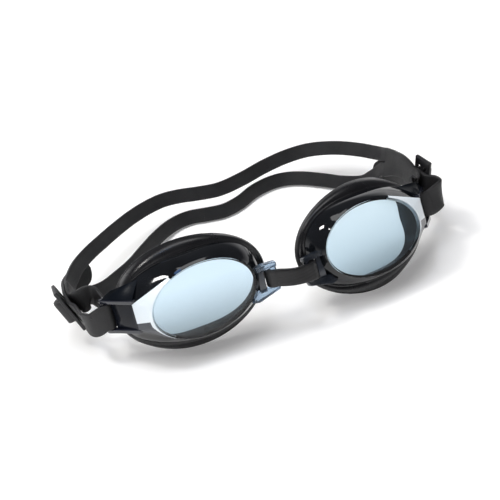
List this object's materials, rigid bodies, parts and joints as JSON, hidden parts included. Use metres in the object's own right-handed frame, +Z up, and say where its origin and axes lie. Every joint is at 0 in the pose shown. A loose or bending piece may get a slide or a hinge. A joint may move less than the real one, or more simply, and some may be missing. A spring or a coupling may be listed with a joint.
{
  "type": "swim goggles",
  "caption": "Swim goggles with oval tinted windows, soft flared eye gaskets, a rubber nose bridge and a slit head strap drawn up through slotted slide buckles.",
  "frame": {"origin": "on the table, under the middle of the whole part's box", "axes": "+X to the wearer's left, -Y the way the windows face, +Z up from the table"},
  "size_m": [0.1532, 0.0796, 0.0372],
  "materials": {
    "tinted_polycarbonate": "clear glossy, light blue-grey tint",
    "black_gasket_rubber": "satin",
    "black_strap_rubber": "matt",
    "black_bridge_rubber": "matt",
    "black_buckle_plastic": "satin"
  },
  "bodies": {
    "bridge_and_bands": {"nose_bridge": "black_bridge_rubber", "upper_band": "black_strap_rubber", "lower_band": "black_strap_rubber"},
    "right_cup": {"right_lens_cup": "tinted_polycarbonate", "right_gasket": "black_gasket_rubber", "right_strap_end": "black_strap_rubber"},
    "left_cup": {"left_lens_cup": "tinted_polycarbonate", "left_gasket": "black_gasket_rubber", "left_strap_end": "black_strap_rubber"},
    "right_buckle_body": {"right_buckle": "black_buckle_plastic", "right_strap_fold": "black_strap_rubber"},
    "left_buckle_body": {"left_buckle": "black_buckle_plastic", "left_strap_fold": "black_strap_rubber"}
  },
  "joints": [
    {"name": "right_cup_swing", "type": "hinge", "parent": "bridge_and_bands", "child": "right_cup", "pos_m": [-0.00432, -0.03196, 0.02118], "axis": [0.0699, -0.3519, -0.9334], "range_deg": [-10, 12], "stiffness_Nm_per_rad": 0.05, "deforming": ["upper_band", "lower_band"]},
    {"name": "left_cup_swing", "type": "hinge", "parent": "bridge_and_bands", "child": "left_cup", "pos_m": [0.00855, -0.03337, 0.01875], "axis": [-0.0109, 0.536, 0.8441], "range_deg": [-10, 12], "stiffness_Nm_per_rad": 0.05, "deforming": ["upper_band", "lower_band"]},
    {"name": "right_buckle_slide", "type": "slide", "parent": "right_cup", "child": "right_buckle_body", "axis": [0.2564, 0.9229, -0.2871], "range_m": [0, 0.003]},
    {"name": "left_buckle_slide", "type": "slide", "parent": "left_cup", "child": "left_buckle_body", "axis": [-0.1706, 0.9835, -0.0602], "range_m": [0, 0.003]}
  ]
}
